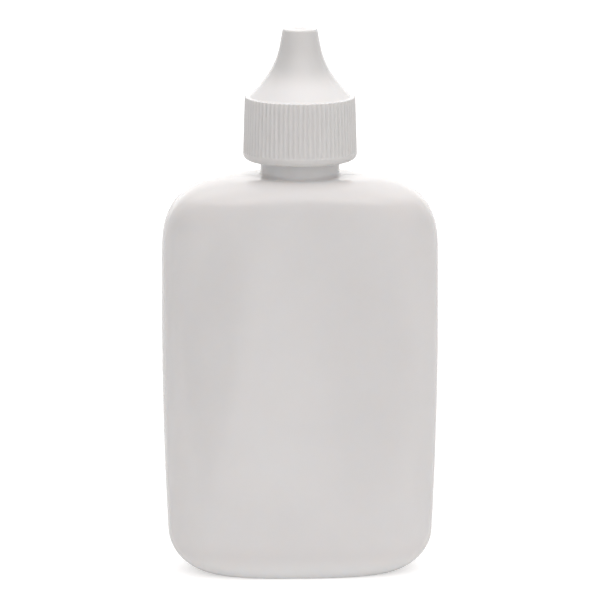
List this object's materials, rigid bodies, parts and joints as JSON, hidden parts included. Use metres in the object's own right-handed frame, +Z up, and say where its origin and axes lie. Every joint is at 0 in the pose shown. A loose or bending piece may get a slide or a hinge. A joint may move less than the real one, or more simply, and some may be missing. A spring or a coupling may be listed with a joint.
{
  "type": "dropper bottle",
  "caption": "Flat oval white plastic squeeze bottle with a round neck, a press-in dropper nozzle and a ribbed screw cap with a flared cone and a flat closed tip.",
  "frame": {"origin": "middle of the base, on the plane it stands on", "axes": "+Z up through the neck and the cap, +X across the broad face, -Y towards the viewer of the broad face"},
  "size_m": [0.0504, 0.0256, 0.0999],
  "materials": {
    "bottle_polyethylene": "satin",
    "dropper_polyethylene": "satin",
    "cap_polypropylene": "satin"
  },
  "bodies": {
    "bottle": {"bottle": "bottle_polyethylene"},
    "dropper": {"dropper_tip": "dropper_polyethylene"},
    "cap": {"cap": "cap_polypropylene"}
  },
  "joints": [
    {"name": "cap_turn", "type": "hinge", "parent": "bottle", "child": "dropper", "pos_m": [0, 0, 0.0851], "axis": [0, 0, 1], "range_deg": [0, 2880]},
    {"name": "cap_rise", "type": "slide", "parent": "dropper", "child": "cap", "axis": [0, 0, 1], "range_m": [0, 0.0255]}
  ],
  "couplings": [
    {"joint": "cap_rise", "follows": "cap_turn", "m_per_rad": 0.00050532}
  ]
}
